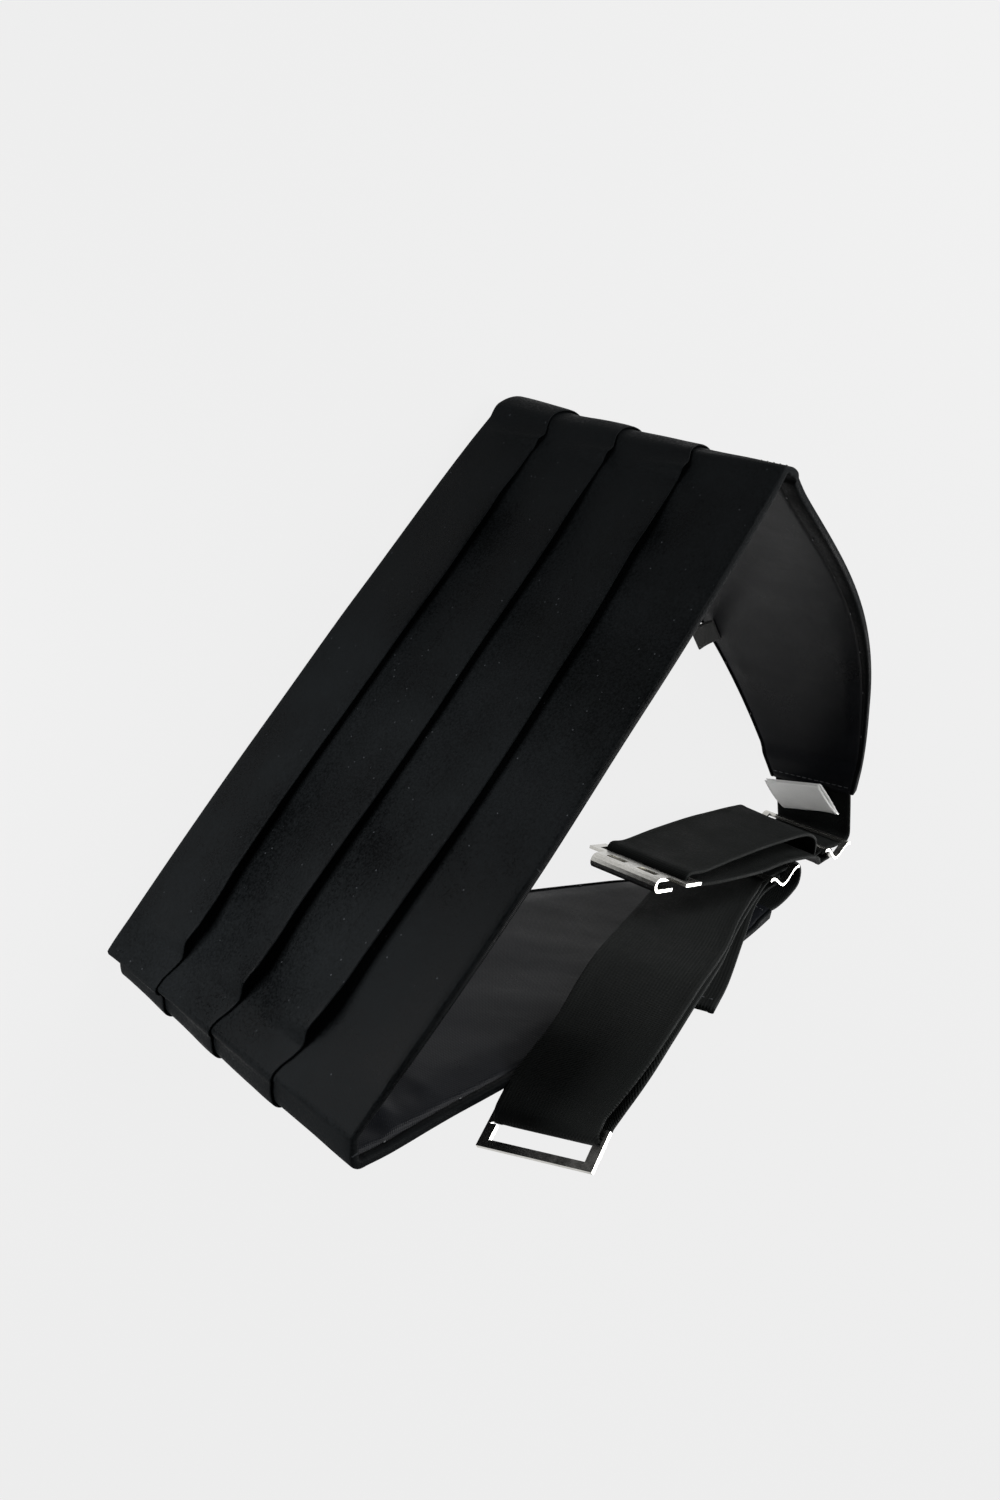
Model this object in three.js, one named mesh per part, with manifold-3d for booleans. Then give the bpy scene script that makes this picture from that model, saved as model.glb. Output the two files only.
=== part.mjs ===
// A cummerbund: a pleated satin waist sash with two tapering wings, elastic straps,
// a hook and a ring. It stands on its lower long edge as it is worn, open at the back.
// Millimetres, +Z up. The front panel faces -Y and the hook's wing is on the -X side.

import * as THREE from 'three';
import { mergeVertices } from 'three/addons/utils/BufferGeometryUtils.js';
import Module from 'manifold-3d';

const wasm = await Module();
wasm.setup();

// Driving dimensions of the sash: a flat front panel, a fold at each end, and a wing.
// The taper starts beside the panel's middle and ends at the wing's end.
const PANEL_LENGTH = 221;
const PANEL_HEIGHT = 130;
const FOLD_LENGTH = 14;
const WING_END_HEIGHT = 41;
const TAPER_START = 19;
const TAPER_POWER = 1.9;

// Each side: its wing's length, the fold's turn and skew in degrees, the wing's bow at its
// start, middle and end and its twist at start and end in degrees for each 100 mm, and how
// far the wing's end sits low.
const HOOK_SIDE = {
  sign: -1, wing: 232, fold: 83.7, skew: -6.9, bow: [-11.2, 18.3, 21.9], twist: [4.7, 5.6], low: -8.2,
};
const RING_SIDE = {
  sign: 1, wing: 261, fold: 131, skew: 1.7, bow: [10.5, -2.6, 13.5], twist: [1.3, 1.8], low: 5.5,
};

// Pleat edges as shares of the height from the lower edge: where they are sewn at the two
// folds, and where they run in the panel beside them.
const PLEAT_EDGES = [
  { hookFold: 0.215, hookSide: 0.25, ringSide: 0.26, ringFold: 0.25 },
  { hookFold: 0.463, hookSide: 0.494, ringSide: 0.514, ringFold: 0.488 },
  { hookFold: 0.716, hookSide: 0.748, ringSide: 0.757, ringFold: 0.735 },
];
const PLEAT_SHIFT = 7;

// Cloth: four pleats, each lapping over the next one up, and a lining in a shallow rebate.
const PLY = 1.0;
const FLAP = 1.2;
const PLEAT_DEPTH = 12;
const PLEAT_SEWN_DEPTH = 1.5;
const POCKET = 1.5;
const POCKET_WIDEST = 2.6;
const POCKET_SEWN = 0.3;
const EDGE_ROUND = 0.5;
const LINING = 0.8;
const GAP = 0.3;
const FACING_TOP = 6;
const FACING_BOTTOM = 2;
const FACING_END = 1.5;

// Elastic straps and the hardware on them.
const STRAP_WIDTH = 37;
const STRAP = 1.3;
const TONGUE = 10;
const HARDWARE_LENGTH = 45;
const HARDWARE_WINDOW = 39;
const METAL = 1.2;
const BAR_WIDTH = 2.8;
const BAR_WRAP = 2.6;
const RING_LENGTH = 40.4;
const RING_WINDOW = 33.4;
const RING_SLOT = 38.2;
const RING_DEPTH = 13.2;
const RING_RIM = 2.6;
const SLIDER_DEPTH = 22;
const SLIDER_BAR = 9.5;

// The lean and roll that bring the lower edges to the surface, and the shift to the origin.
const LEAN = -9.52;
const ROLL = 0.37;
const PLACE = new THREE.Vector3(9.22, -121.40, 65.85);

const vec = (x, y, z) => new THREE.Vector3(x, y, z);
const radians = THREE.MathUtils.degToRad;
const smooth = THREE.MathUtils.smoothstep;
const mix = THREE.MathUtils.lerp;

const FOLD_END = PANEL_LENGTH / 2 + FOLD_LENGTH;

function sideLength(side) {
  return FOLD_END + side.wing;
}

// How far along a side's taper a distance from the panel's middle lies, from 0 to 1.
function taperShare(side, distance) {
  return THREE.MathUtils.clamp((distance - TAPER_START) / (sideLength(side) - TAPER_START), 0, 1);
}

// A value given at the start, middle and end of a wing, as a parabola.
function alongWing([start, middle, end], share) {
  return start * (1 - share) * (1 - 2 * share) + middle * 4 * share * (1 - share) + end * share * (2 * share - 1);
}

// Distances from the panel's middle at which one side is cut into sections.
const END_STRETCH = 18;
function cutDistances(side) {
  const cuts = [];
  const last = sideLength(side);
  const fill = (from, to, step) => {
    const count = Math.round((to - from) / step);
    for (let i = 0; i < count; i += 1) cuts.push(mix(from, to, i / count));
  };
  fill(0, PANEL_LENGTH / 2, 12);
  fill(PANEL_LENGTH / 2, FOLD_END, 2.4);
  fill(FOLD_END, last - END_STRETCH, 9);
  fill(last - END_STRETCH, last, 4.5);
  cuts.push(last);
  return cuts;
}

// Walks out from the panel's middle along one side. Each station holds its point, the
// direction along the cloth, the direction up across it, and the outward normal.
function walk(side) {
  const stations = [];
  let point = vec(0, 0, 0);
  let along = vec(side.sign, 0, 0);
  let up = vec(0, 0, 1);
  const cuts = cutDistances(side);
  cuts.forEach((distance, i) => {
    const out = vec(0, 0, 0).crossVectors(along, up).multiplyScalar(side.sign);
    const taper = taperShare(side, distance);
    const height = mix(PANEL_HEIGHT, WING_END_HEIGHT, taper ** TAPER_POWER);
    const middle = point.clone().addScaledVector(up, -side.low * taper);
    const toEnd = sideLength(side) - distance;
    stations.push({ distance, toEnd, point: middle, along: along.clone(), up: up.clone(), out, height });
    if (i === cuts.length - 1) return;
    const length = cuts[i + 1] - distance;
    const at = distance + length / 2;
    let turn = 0;
    let twist = 0;
    if (at > FOLD_END) {
      const share = (at - FOLD_END) / side.wing;
      turn = radians(alongWing(side.bow, share)) * length / 100;
      twist = radians(mix(side.twist[0], side.twist[1], share)) * length / 100;
    } else if (at > PANEL_LENGTH / 2) {
      turn = radians(side.fold) * length / FOLD_LENGTH;
      twist = radians(side.skew) * length / FOLD_LENGTH;
    }
    const next = along.clone().addScaledVector(out, -turn).normalize();
    const inward = out.clone().negate();
    up.addScaledVector(inward, -twist);
    up.addScaledVector(next, -next.dot(up)).normalize();
    point = point.clone().addScaledVector(along.clone().add(next).normalize(), length);
    along = next;
  });
  return stations;
}

const hookWalk = walk(HOOK_SIDE);
const ringWalk = walk(RING_SIDE);

// The whole sash from the hook's wing end to the ring's, with along pointing one way.
function wholeSash() {
  const hookHalf = hookWalk.slice(1).reverse().map((s) => ({ ...s, distance: -s.distance }));
  return [...hookHalf, ...ringWalk];
}

// How far pleats stand open: most in the panel, widest near the ring's fold, sewn at the folds.
function pocket(distance) {
  const toFold = PANEL_LENGTH / 2 - Math.abs(distance);
  const open = smooth(toFold, 4, 26);
  const wide = smooth(distance, 20, 80) * (POCKET_WIDEST - POCKET);
  return POCKET_SEWN + open * (POCKET - POCKET_SEWN + wide);
}

function pleatDepth(distance) {
  const open = smooth(PANEL_LENGTH / 2 - Math.abs(distance), 4, 30);
  return mix(PLEAT_SEWN_DEPTH, PLEAT_DEPTH, open);
}

function pleatEdges(distance, height) {
  const share = THREE.MathUtils.clamp(distance / PANEL_LENGTH + 0.5, 0, 1);
  const inPanel = smooth(PANEL_LENGTH / 2 - Math.abs(distance), -PLEAT_SHIFT, PLEAT_SHIFT);
  return PLEAT_EDGES.map((edge) => {
    const sewn = distance < 0 ? edge.hookFold : edge.ringFold;
    return (mix(sewn, mix(edge.hookSide, edge.ringSide, share), inPanel) - 0.5) * height;
  });
}

// How far the lining steps in at a wing's end to let the strap's tongue lie behind it.
function tongueStep(toEnd) {
  return (STRAP + GAP) * (1 - smooth(toEnd, TONGUE + 2, TONGUE + 8));
}

function facings(toEnd) {
  const away = 1 - smooth(toEnd, 0, HOOK_SIDE.wing);
  return { top: mix(FACING_TOP, FACING_END, away), bottom: mix(FACING_BOTTOM, FACING_END, away) };
}

// Points evenly across a flat face, so that it can follow a twisted wing.
const FLAT_STEPS = 4;
function evenly(from, to, out) {
  return Array.from({ length: FLAT_STEPS + 1 }, (_, i) => [mix(from, to, i / FLAT_STEPS), out]);
}

// The satin's section as across/out pairs, from the lower edge up the front and down the back.
function satinSection({ distance, toEnd, height }) {
  const low = -height / 2;
  const high = height / 2;
  const mouth = pocket(distance);
  const top = PLY + mouth + FLAP;
  const depth = pleatDepth(distance);
  const back = -(LINING + GAP + tongueStep(toEnd));
  const facing = facings(toEnd);
  const section = [[low + EDGE_ROUND, back], [low, back + EDGE_ROUND], [low, PLY / 2], [low + EDGE_ROUND, PLY]];
  for (const edge of pleatEdges(distance, height)) {
    section.push([edge - EDGE_ROUND, top], [edge, top - FLAP]);
    section.push([edge - depth, PLY + GAP], [edge - depth, PLY], [edge, PLY]);
  }
  section.push([high - EDGE_ROUND, PLY + FLAP], [high, PLY], [high, back + EDGE_ROUND], [high - EDGE_ROUND, back]);
  section.push([high - facing.top, back]);
  section.push(...evenly(high - facing.top, low + facing.bottom, 0));
  section.push([low + facing.bottom, back]);
  return section;
}

function liningSection({ toEnd, height }) {
  const facing = facings(toEnd);
  const low = -height / 2 + facing.bottom + GAP;
  const high = height / 2 - facing.top - GAP;
  const face = -GAP - tongueStep(toEnd);
  return [...evenly(high, low, face), ...evenly(low, high, face - LINING)];
}

// Turns rings of points, and the flat section that closes both ends, into a closed mesh.
function sweep(rings, firstSection, lastSection) {
  const size = rings[0].length;
  const positions = rings.flat().flatMap((p) => [p.x, p.y, p.z]);
  const faces = [];
  for (let i = 0; i < rings.length - 1; i += 1) {
    for (let j = 0; j < size; j += 1) {
      const k = (j + 1) % size;
      const [a, b, c, d] = [i * size + j, i * size + k, (i + 1) * size + k, (i + 1) * size + j];
      faces.push(a, b, c, a, c, d);
    }
  }
  const cap = (section, start, reversed) => {
    const outline = section.map(([x, y]) => new THREE.Vector2(x, y));
    const winding = Math.sign(THREE.ShapeUtils.area(outline)) * (reversed ? -1 : 1);
    for (const [a, b, c] of THREE.ShapeUtils.triangulateShape(outline, [])) {
      const same = Math.sign(THREE.ShapeUtils.area([outline[a], outline[b], outline[c]])) === winding;
      faces.push(start + a, start + (same ? b : c), start + (same ? c : b));
    }
  };
  cap(firstSection, 0, true);
  cap(lastSection, (rings.length - 1) * size, false);
  const geometry = new THREE.BufferGeometry();
  geometry.setAttribute('position', new THREE.Float32BufferAttribute(positions, 3));
  geometry.setIndex(faces);
  return facingOut(geometry);
}

// Turns a closed mesh the right way out if its volume comes out negative.
function facingOut(geometry) {
  const position = geometry.attributes.position;
  const index = geometry.index;
  let volume = 0;
  for (let i = 0; i < index.count; i += 3) {
    const [a, b, c] = [0, 1, 2].map((k) => vec(0, 0, 0).fromBufferAttribute(position, index.getX(i + k)));
    volume += a.dot(b.cross(c)) / 6;
  }
  if (volume < 0) {
    for (let i = 0; i < index.count; i += 3) {
      const second = index.getX(i + 1);
      index.setX(i + 1, index.getX(i + 2));
      index.setX(i + 2, second);
    }
  }
  return geometry;
}

function clothGeometry(stations, sectionOf) {
  const sections = stations.map(sectionOf);
  const rings = stations.map((s, i) => sections[i].map(([across, out]) => (
    s.point.clone().addScaledVector(s.up, across).addScaledVector(s.out, out))));
  return sweep(rings, sections[0], sections[sections.length - 1]);
}

// Local frames for the hardware: u runs along the strap towards its free end, v up across
// it, and h away from the sash's inside.
function hardwareFrame(origin, u, v) {
  const across = v.clone().normalize();
  const run = u.clone().addScaledVector(across, -u.dot(across)).normalize();
  const away = vec(0, 0, 0).crossVectors(across, run);
  return { origin, u: run, v: across, h: away };
}

function local(frame, u, h) {
  return { point: frame.origin.clone().addScaledVector(frame.u, u).addScaledVector(frame.h, h), across: frame.v };
}

const knot = (x, y, z, across) => ({ point: vec(x, y, z), across });

const UPRIGHT = vec(0, 0, 1);

const hookSlider = hardwareFrame(vec(-88.4, 241.2, -1.8), vec(0.62, -0.785, 0), vec(0, 0, 1));
const hookBar = hardwareFrame(vec(-17.2, 124.1, 13.9), vec(0.52, -0.85, 0.12), vec(-0.03, 0, 1));
const ringSlider = hardwareFrame(vec(-58, 209.5, -1.5), vec(0.71, -0.7, 0), vec(0, 0, 1));
const ringBar = hardwareFrame(vec(82.9, 56.7, 73.7), vec(0.91, -0.29, 0.3), vec(-0.29, -0.08, 0.95));

// The strap's tongue, sewn between satin and lining at a wing's end, and its first reach out.
function tongueKnots(stations, reach) {
  const at = -(GAP + STRAP / 2);
  const inside = stations.filter((s) => s.toEnd <= TONGUE);
  const knots = inside.map((s) => ({ point: s.point.clone().addScaledVector(s.out, at), across: s.up }));
  const end = stations[stations.length - 1];
  const beyond = end.point.clone().addScaledVector(end.out, at).addScaledVector(end.along, reach);
  return [...knots, { point: beyond, across: end.up }];
}

// The strap lies between the slider's outer bars and its middle bar.
function throughSlider(frame) {
  return [[-9, 0], [-4.5, 0], [0, 0], [4.5, 0], [9, 0], [13.5, 0.45]].map(([u, h]) => local(frame, u, h));
}

// Round a hardware bar in a half turn, from the inner side to the outer.
function roundBar(frame) {
  const knots = [local(frame, -7, -BAR_WRAP), local(frame, -3, -BAR_WRAP)];
  for (let turn = -90; turn <= 90; turn += 30) {
    knots.push(local(frame, BAR_WRAP * Math.cos(radians(turn)), BAR_WRAP * Math.sin(radians(turn))));
  }
  knots.push(local(frame, -3, BAR_WRAP), local(frame, -7, BAR_WRAP));
  return knots;
}

// Round the slider's middle bar, on from one face to the other.
const LOOP_NEAR = 1.6;
const LOOP_FAR = 5.2;
function roundMiddleBar(frame, first, last) {
  const centre = (LOOP_NEAR + LOOP_FAR) / 2;
  const radius = (LOOP_FAR - LOOP_NEAR) / 2;
  const side = Math.sign(first - centre);
  const knots = [];
  for (let turn = 90; turn >= -90; turn -= 36) {
    const u = -1.2 - radius * Math.cos(radians(turn));
    knots.push(local(frame, u, centre + side * radius * Math.sin(radians(turn))));
  }
  return [local(frame, 1.5, first), ...knots, local(frame, 1.5, last)];
}

// Strap routes, chosen by hand, in the order in which the elastic runs.
const hookRoute = [
  ...tongueKnots(hookWalk, 7),
  knot(-103.2, 251, -3.2, vec(-0.08, 0.03, 1)),
  knot(-100, 254.6, -2.8, vec(-0.04, 0, 1)),
  knot(-96.4, 253.4, -2.4, UPRIGHT),
  ...throughSlider(hookSlider),
  knot(-80.6, 211.2, 3.6, UPRIGHT),
  knot(-61.1, 176.3, 7.2, UPRIGHT),
  knot(-39.6, 147.2, 10.2, vec(-0.03, 0.03, 1)),
  ...roundBar(hookBar),
  knot(-25.7, 143, 13.6, vec(-0.03, 0, 1)),
  knot(-43.6, 169.4, 12.3, UPRIGHT),
  knot(-58.1, 188.6, 10.6, UPRIGHT),
  knot(-72.8, 213.8, 7.6, UPRIGHT),
  local(hookSlider, 8, LOOP_FAR + 0.3),
  ...roundMiddleBar(hookSlider, LOOP_FAR, LOOP_NEAR),
  local(hookSlider, 6, LOOP_NEAR + 0.1),
];

const ringRoute = [
  ...tongueKnots(ringWalk, 7),
  knot(-57.5, 228, -0.6, UPRIGHT),
  knot(-63.5, 230.2, -0.9, UPRIGHT),
  knot(-68.4, 226.6, -1.2, UPRIGHT),
  knot(-68.9, 220.6, -1.4, UPRIGHT),
  ...throughSlider(ringSlider),
  knot(-36, 181, 8, vec(-0.12, 0.16, 1)),
  knot(-16, 154, 22, vec(-0.28, 0.34, 0.9)),
  knot(4, 120, 41, vec(-0.22, 0.36, 0.92)),
  knot(28, 82, 60.5, vec(-0.2, 0.14, 0.97)),
  knot(54.5, 60.5, 72, vec(-0.27, -0.03, 0.96)),
  ...roundBar(ringBar),
  knot(56.6, 64.6, 72, vec(-0.27, -0.03, 0.96)),
  knot(31.8, 86, 60.5, vec(-0.2, 0.14, 0.97)),
  knot(7.8, 123.6, 41, vec(-0.22, 0.36, 0.92)),
  knot(-13, 157, 22, vec(-0.28, 0.34, 0.9)),
  knot(-34, 184, 8, vec(-0.12, 0.16, 1)),
  local(ringSlider, 8, LOOP_NEAR + 0.1),
  ...roundMiddleBar(ringSlider, LOOP_NEAR, LOOP_FAR),
  local(ringSlider, 8, LOOP_FAR + 0.4),
  knot(-35, 190, 6, vec(-0.12, 0.16, 1)),
  knot(-12, 165, 22, vec(-0.24, 0.3, 0.93)),
  knot(12, 134, 42, vec(-0.24, 0.3, 0.93)),
  knot(24.5, 117.5, 51.5, vec(-0.24, 0.26, 0.94)),
];

const STRAP_SECTION = [
  [-STRAP_WIDTH / 2, -STRAP / 2], [STRAP_WIDTH / 2, -STRAP / 2],
  [STRAP_WIDTH / 2, STRAP / 2], [-STRAP_WIDTH / 2, STRAP / 2],
];

// A flat elastic along a smooth curve through its knots, with more steps where they lie far apart.
function strapGeometry(knots) {
  const curve = new THREE.CatmullRomCurve3(knots.map((k) => k.point), false, 'centripetal');
  const last = knots.length - 1;
  const rings = [];
  for (let i = 0; i < last; i += 1) {
    const length = knots[i].point.distanceTo(knots[i + 1].point);
    const steps = Math.max(1, Math.round(length / 7));
    const end = i === last - 1 ? steps : steps - 1;
    for (let j = 0; j <= end; j += 1) {
      const share = j / steps;
      const t = (i + share) / last;
      const point = curve.getPoint(t);
      const along = curve.getTangent(t);
      const across = knots[i].across.clone().normalize().lerp(knots[i + 1].across.clone().normalize(), share);
      across.addScaledVector(along, -along.dot(across)).normalize();
      const face = vec(0, 0, 0).crossVectors(along, across);
      rings.push(STRAP_SECTION.map(([a, f]) => point.clone().addScaledVector(across, a).addScaledVector(face, f)));
    }
  }
  return sweep(rings, STRAP_SECTION, STRAP_SECTION);
}

// Joining and cutting closed meshes.
function toSolid(geometry) {
  const bare = geometry.clone();
  bare.deleteAttribute('normal');
  bare.deleteAttribute('uv');
  const merged = mergeVertices(bare, 1e-4);
  return new wasm.Manifold(new wasm.Mesh({
    numProp: 3,
    vertProperties: Float32Array.from(merged.attributes.position.array),
    triVerts: Uint32Array.from(merged.index.array),
  }));
}

function toGeometry(solid) {
  const mesh = solid.getMesh();
  const geometry = new THREE.BufferGeometry();
  geometry.setAttribute('position', new THREE.Float32BufferAttribute(mesh.vertProperties, 3));
  geometry.setIndex(Array.from(mesh.triVerts));
  return geometry;
}

// Extrudes a u/h outline along v, from one distance to another.
function alongBar(outline, from, to) {
  const shape = new THREE.Shape(outline.map(([u, h]) => new THREE.Vector2(u, h)));
  return new THREE.ExtrudeGeometry(shape, { depth: to - from, bevelEnabled: false, steps: 1 }).translate(0, 0, from);
}

// A box in hardware coordinates: u, h and v ranges.
function slab([u0, u1], [h0, h1], [v0, v1]) {
  return alongBar([[u0, h0], [u1, h0], [u1, h1], [u0, h1]], v0, v1);
}

// Geometry made with x = u, y = h, z = v is laid into its hardware frame.
function place(geometry, frame) {
  const basis = new THREE.Matrix4().makeBasis(frame.u, frame.h, frame.v);
  geometry.applyMatrix4(basis);
  geometry.translate(frame.origin.x, frame.origin.y, frame.origin.z);
  return facingOut(geometry);
}

// The slide's stamped wave: the middle bar on one side of the strap, the outer bars on the other.
const WAVE_MIDDLE = 0.75;
const WAVE_SWING = 2.75;
function sliderGeometry(frame) {
  const wave = (u) => WAVE_MIDDLE + WAVE_SWING * Math.cos(Math.PI * u / SLIDER_BAR);
  const steps = 16;
  const front = [];
  const back = [];
  for (let i = 0; i <= steps; i += 1) {
    const u = mix(-SLIDER_DEPTH / 2, SLIDER_DEPTH / 2, i / steps);
    front.push([u, wave(u) - METAL / 2]);
    back.unshift([u, wave(u) + METAL / 2]);
  }
  const plate = toSolid(alongBar([...front, ...back], -HARDWARE_LENGTH / 2, HARDWARE_LENGTH / 2));
  const window = [-HARDWARE_WINDOW / 2, HARDWARE_WINDOW / 2];
  const first = toSolid(slab([-8.2, -1.2], [-5, 6], window));
  const second = toSolid(slab([1.2, 8.2], [-5, 6], window));
  return place(toGeometry(plate.subtract(first).subtract(second)), frame);
}

// The ring's window is wider beside its bar, where the strap goes round, than at the far side.
const RING_SLOT_DEPTH = 2.6;
function ringGeometry(frame) {
  const flat = [-METAL / 2, METAL / 2];
  const far = RING_DEPTH - BAR_WIDTH / 2;
  const plate = toSolid(slab([-BAR_WIDTH / 2, far], flat, [-RING_LENGTH / 2, RING_LENGTH / 2]));
  const near = BAR_WIDTH / 2;
  const slot = toSolid(slab([near, near + RING_SLOT_DEPTH], [-METAL, METAL], [-RING_SLOT / 2, RING_SLOT / 2]));
  const inner = [near, far - RING_RIM];
  const cut = toSolid(slab(inner, [-METAL, METAL], [-RING_WINDOW / 2, RING_WINDOW / 2]));
  return place(toGeometry(plate.subtract(slot).subtract(cut)), frame);
}

// The hook: a strap frame, a narrower web with two windows, and a tongue bent back under it.
const HOOK_FRAME = 8.5;
const HOOK_WEB = 14;
const HOOK_WEB_HALF = 15;
const HOOK_BEND = 2.2;
const HOOK_RETURN = 9;
function hookGeometry(frame) {
  const flat = [-METAL / 2, METAL / 2];
  let solid = toSolid(slab([-BAR_WIDTH / 2, HOOK_FRAME], flat, [-HARDWARE_LENGTH / 2, HARDWARE_LENGTH / 2]));
  const slot = [-HARDWARE_WINDOW / 2, HARDWARE_WINDOW / 2];
  solid = solid.subtract(toSolid(slab([BAR_WIDTH / 2, HOOK_FRAME - BAR_WIDTH], [-METAL, METAL], slot)));
  const outer = [];
  const inner = [];
  for (let turn = -90; turn <= 90; turn += 30) {
    const [c, s] = [Math.cos(radians(turn)), Math.sin(radians(turn))];
    outer.push([HOOK_WEB + (HOOK_BEND + METAL / 2) * c, HOOK_BEND + (HOOK_BEND + METAL / 2) * s]);
    inner.unshift([HOOK_WEB + (HOOK_BEND - METAL / 2) * c, HOOK_BEND + (HOOK_BEND - METAL / 2) * s]);
  }
  const start = HOOK_FRAME - BAR_WIDTH / 2;
  const tip = HOOK_WEB - HOOK_RETURN;
  const under = 2 * HOOK_BEND;
  const bent = [
    [start, METAL / 2], [start, -METAL / 2], ...outer,
    [tip, under + METAL / 2], [tip, under - METAL / 2], ...inner,
  ];
  solid = solid.add(toSolid(alongBar(bent, -HOOK_WEB_HALF, HOOK_WEB_HALF)));
  for (const middle of [-7, 7]) {
    solid = solid.subtract(toSolid(slab([9.5, 13], [-METAL, METAL], [middle - 4.2, middle + 4.2])));
  }
  return place(toGeometry(solid), frame);
}

// A folded label: a thin hairpin, its two ends at the seam.
const LABEL = 0.6;
const LABEL_CLEAR = 0.7;
function hairpinGeometry(frame, length, width, spread) {
  const outline = [
    [0, 0], [length - spread, 0], [length, spread / 2], [length - spread, spread], [0, spread],
    [0, spread - LABEL], [length - spread - LABEL / 2, spread - LABEL], [length - 1.7 * LABEL, spread / 2],
    [length - spread - LABEL / 2, LABEL], [0, LABEL],
  ];
  return place(toGeometry(toSolid(alongBar(outline, -width / 2, width / 2))), frame);
}

const CARE_LABEL = { length: 14, width: 33, spread: 2.2, before: 2 };
function careLabelFrame() {
  const end = hookWalk[hookWalk.length - 1];
  const inside = -(GAP + tongueStep(end.toEnd) + LINING + LABEL_CLEAR);
  const origin = end.point.clone().addScaledVector(end.out, inside).addScaledVector(end.along, -CARE_LABEL.before);
  return { origin, u: end.along, v: end.up, h: end.out.clone().negate() };
}

const SIDE_LABEL = { length: 11, width: 13, spread: 1.8, at: 262, beyond: -4 };
function sideLabelFrame() {
  const near = hookWalk.reduce((a, b) => (
    Math.abs(b.distance - SIDE_LABEL.at) < Math.abs(a.distance - SIDE_LABEL.at) ? b : a));
  const inside = -(GAP + LINING + 1.2 * LABEL_CLEAR);
  const low = -near.height / 2 - SIDE_LABEL.beyond + SIDE_LABEL.length;
  const origin = near.point.clone().addScaledVector(near.out, inside).addScaledVector(near.up, low);
  return { origin, u: near.up.clone().negate(), v: near.along, h: near.out.clone().negate() };
}

// Materials, from the photograph.
const finish = (color, roughness, metalness) => new THREE.MeshStandardMaterial({ color, roughness, metalness });
const satin = finish('#16171a', 0.38, 0);
const liningCloth = finish('#23252a', 0.45, 0);
const elastic = finish('#121315', 0.8, 0);
const chrome = finish('#b9b8b2', 0.22, 1);
const whiteTape = finish('#e6e6e4', 0.8, 0);
const darkTape = finish('#1b1b1d', 0.7, 0);

const belt = new THREE.Group();
function add(name, geometry, material) {
  const mesh = new THREE.Mesh(geometry, material);
  mesh.name = name;
  belt.add(mesh);
}

const sash = wholeSash();
add('pleated_front', clothGeometry(sash, satinSection), satin);
add('lining', clothGeometry(sash, liningSection), liningCloth);
add('hook_strap', strapGeometry(hookRoute), elastic);
add('ring_strap', strapGeometry(ringRoute), elastic);
add('hook_slider', sliderGeometry(hookSlider), chrome);
add('ring_slider', sliderGeometry(ringSlider), chrome);
add('hook', hookGeometry(hookBar), chrome);
add('ring', ringGeometry(ringBar), chrome);
add('care_label', hairpinGeometry(careLabelFrame(), CARE_LABEL.length, CARE_LABEL.width, CARE_LABEL.spread), whiteTape);
add('side_label', hairpinGeometry(sideLabelFrame(), SIDE_LABEL.length, SIDE_LABEL.width, SIDE_LABEL.spread), darkTape);

belt.rotation.set(radians(LEAN), radians(ROLL), 0);
belt.position.copy(PLACE);

const group = new THREE.Group();
group.add(belt);
export default group;
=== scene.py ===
import math

import bmesh
import bpy
import numpy as np
from mathutils import Matrix, Vector


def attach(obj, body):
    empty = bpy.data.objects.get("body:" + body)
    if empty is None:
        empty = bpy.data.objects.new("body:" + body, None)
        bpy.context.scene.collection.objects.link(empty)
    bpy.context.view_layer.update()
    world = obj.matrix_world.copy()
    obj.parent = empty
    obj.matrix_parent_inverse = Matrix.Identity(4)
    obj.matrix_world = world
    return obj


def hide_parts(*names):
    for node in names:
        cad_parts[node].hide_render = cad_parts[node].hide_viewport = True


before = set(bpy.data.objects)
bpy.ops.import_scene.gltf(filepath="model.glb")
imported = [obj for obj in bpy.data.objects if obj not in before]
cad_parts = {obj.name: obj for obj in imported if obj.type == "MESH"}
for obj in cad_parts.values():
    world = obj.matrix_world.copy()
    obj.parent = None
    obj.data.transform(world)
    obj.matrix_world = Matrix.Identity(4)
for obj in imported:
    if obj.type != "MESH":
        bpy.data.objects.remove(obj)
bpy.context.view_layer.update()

# A black satin cummerbund, open, on its lower long edge. The cloth's shape follows the frame's
# named sizes in millimetres, with wider pockets, and is laid into the frame's place in metres.
# Distances run along the sash from the panel's middle, below zero on the hook's side.
MM = 0.001

# The sash: a flat panel, a fold at each end, and two wings that taper towards the straps.
PANEL_LENGTH = 221
PANEL_HEIGHT = 130
FOLD_LENGTH = 14
FOLD_END = PANEL_LENGTH / 2 + FOLD_LENGTH
WING_END_HEIGHT = 41
TAPER_START = 19
TAPER_POWER = 1.9
HOOK_SIDE = {
    "sign": -1, "wing": 232, "fold": 83.7, "skew": -6.9,
    "bow": (-11.2, 18.3, 21.9), "twist": (4.7, 5.6), "low": -8.2,
}
RING_SIDE = {
    "sign": 1, "wing": 261, "fold": 131, "skew": 1.7,
    "bow": (10.5, -2.6, 13.5), "twist": (1.3, 1.8), "low": 5.5,
}

# The pleats' free edges as shares of the height, at the folds and just inside them.
PLEAT_EDGES = (
    {"hook_fold": 0.215, "hook_side": 0.25, "ring_side": 0.26, "ring_fold": 0.25, "bow": 0.001},
    {"hook_fold": 0.463, "hook_side": 0.494, "ring_side": 0.514, "ring_fold": 0.488, "bow": 0.007},
    {"hook_fold": 0.716, "hook_side": 0.748, "ring_side": 0.757, "ring_fold": 0.735, "bow": 0.012},
)
PLEAT_SHIFT = 7
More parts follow.
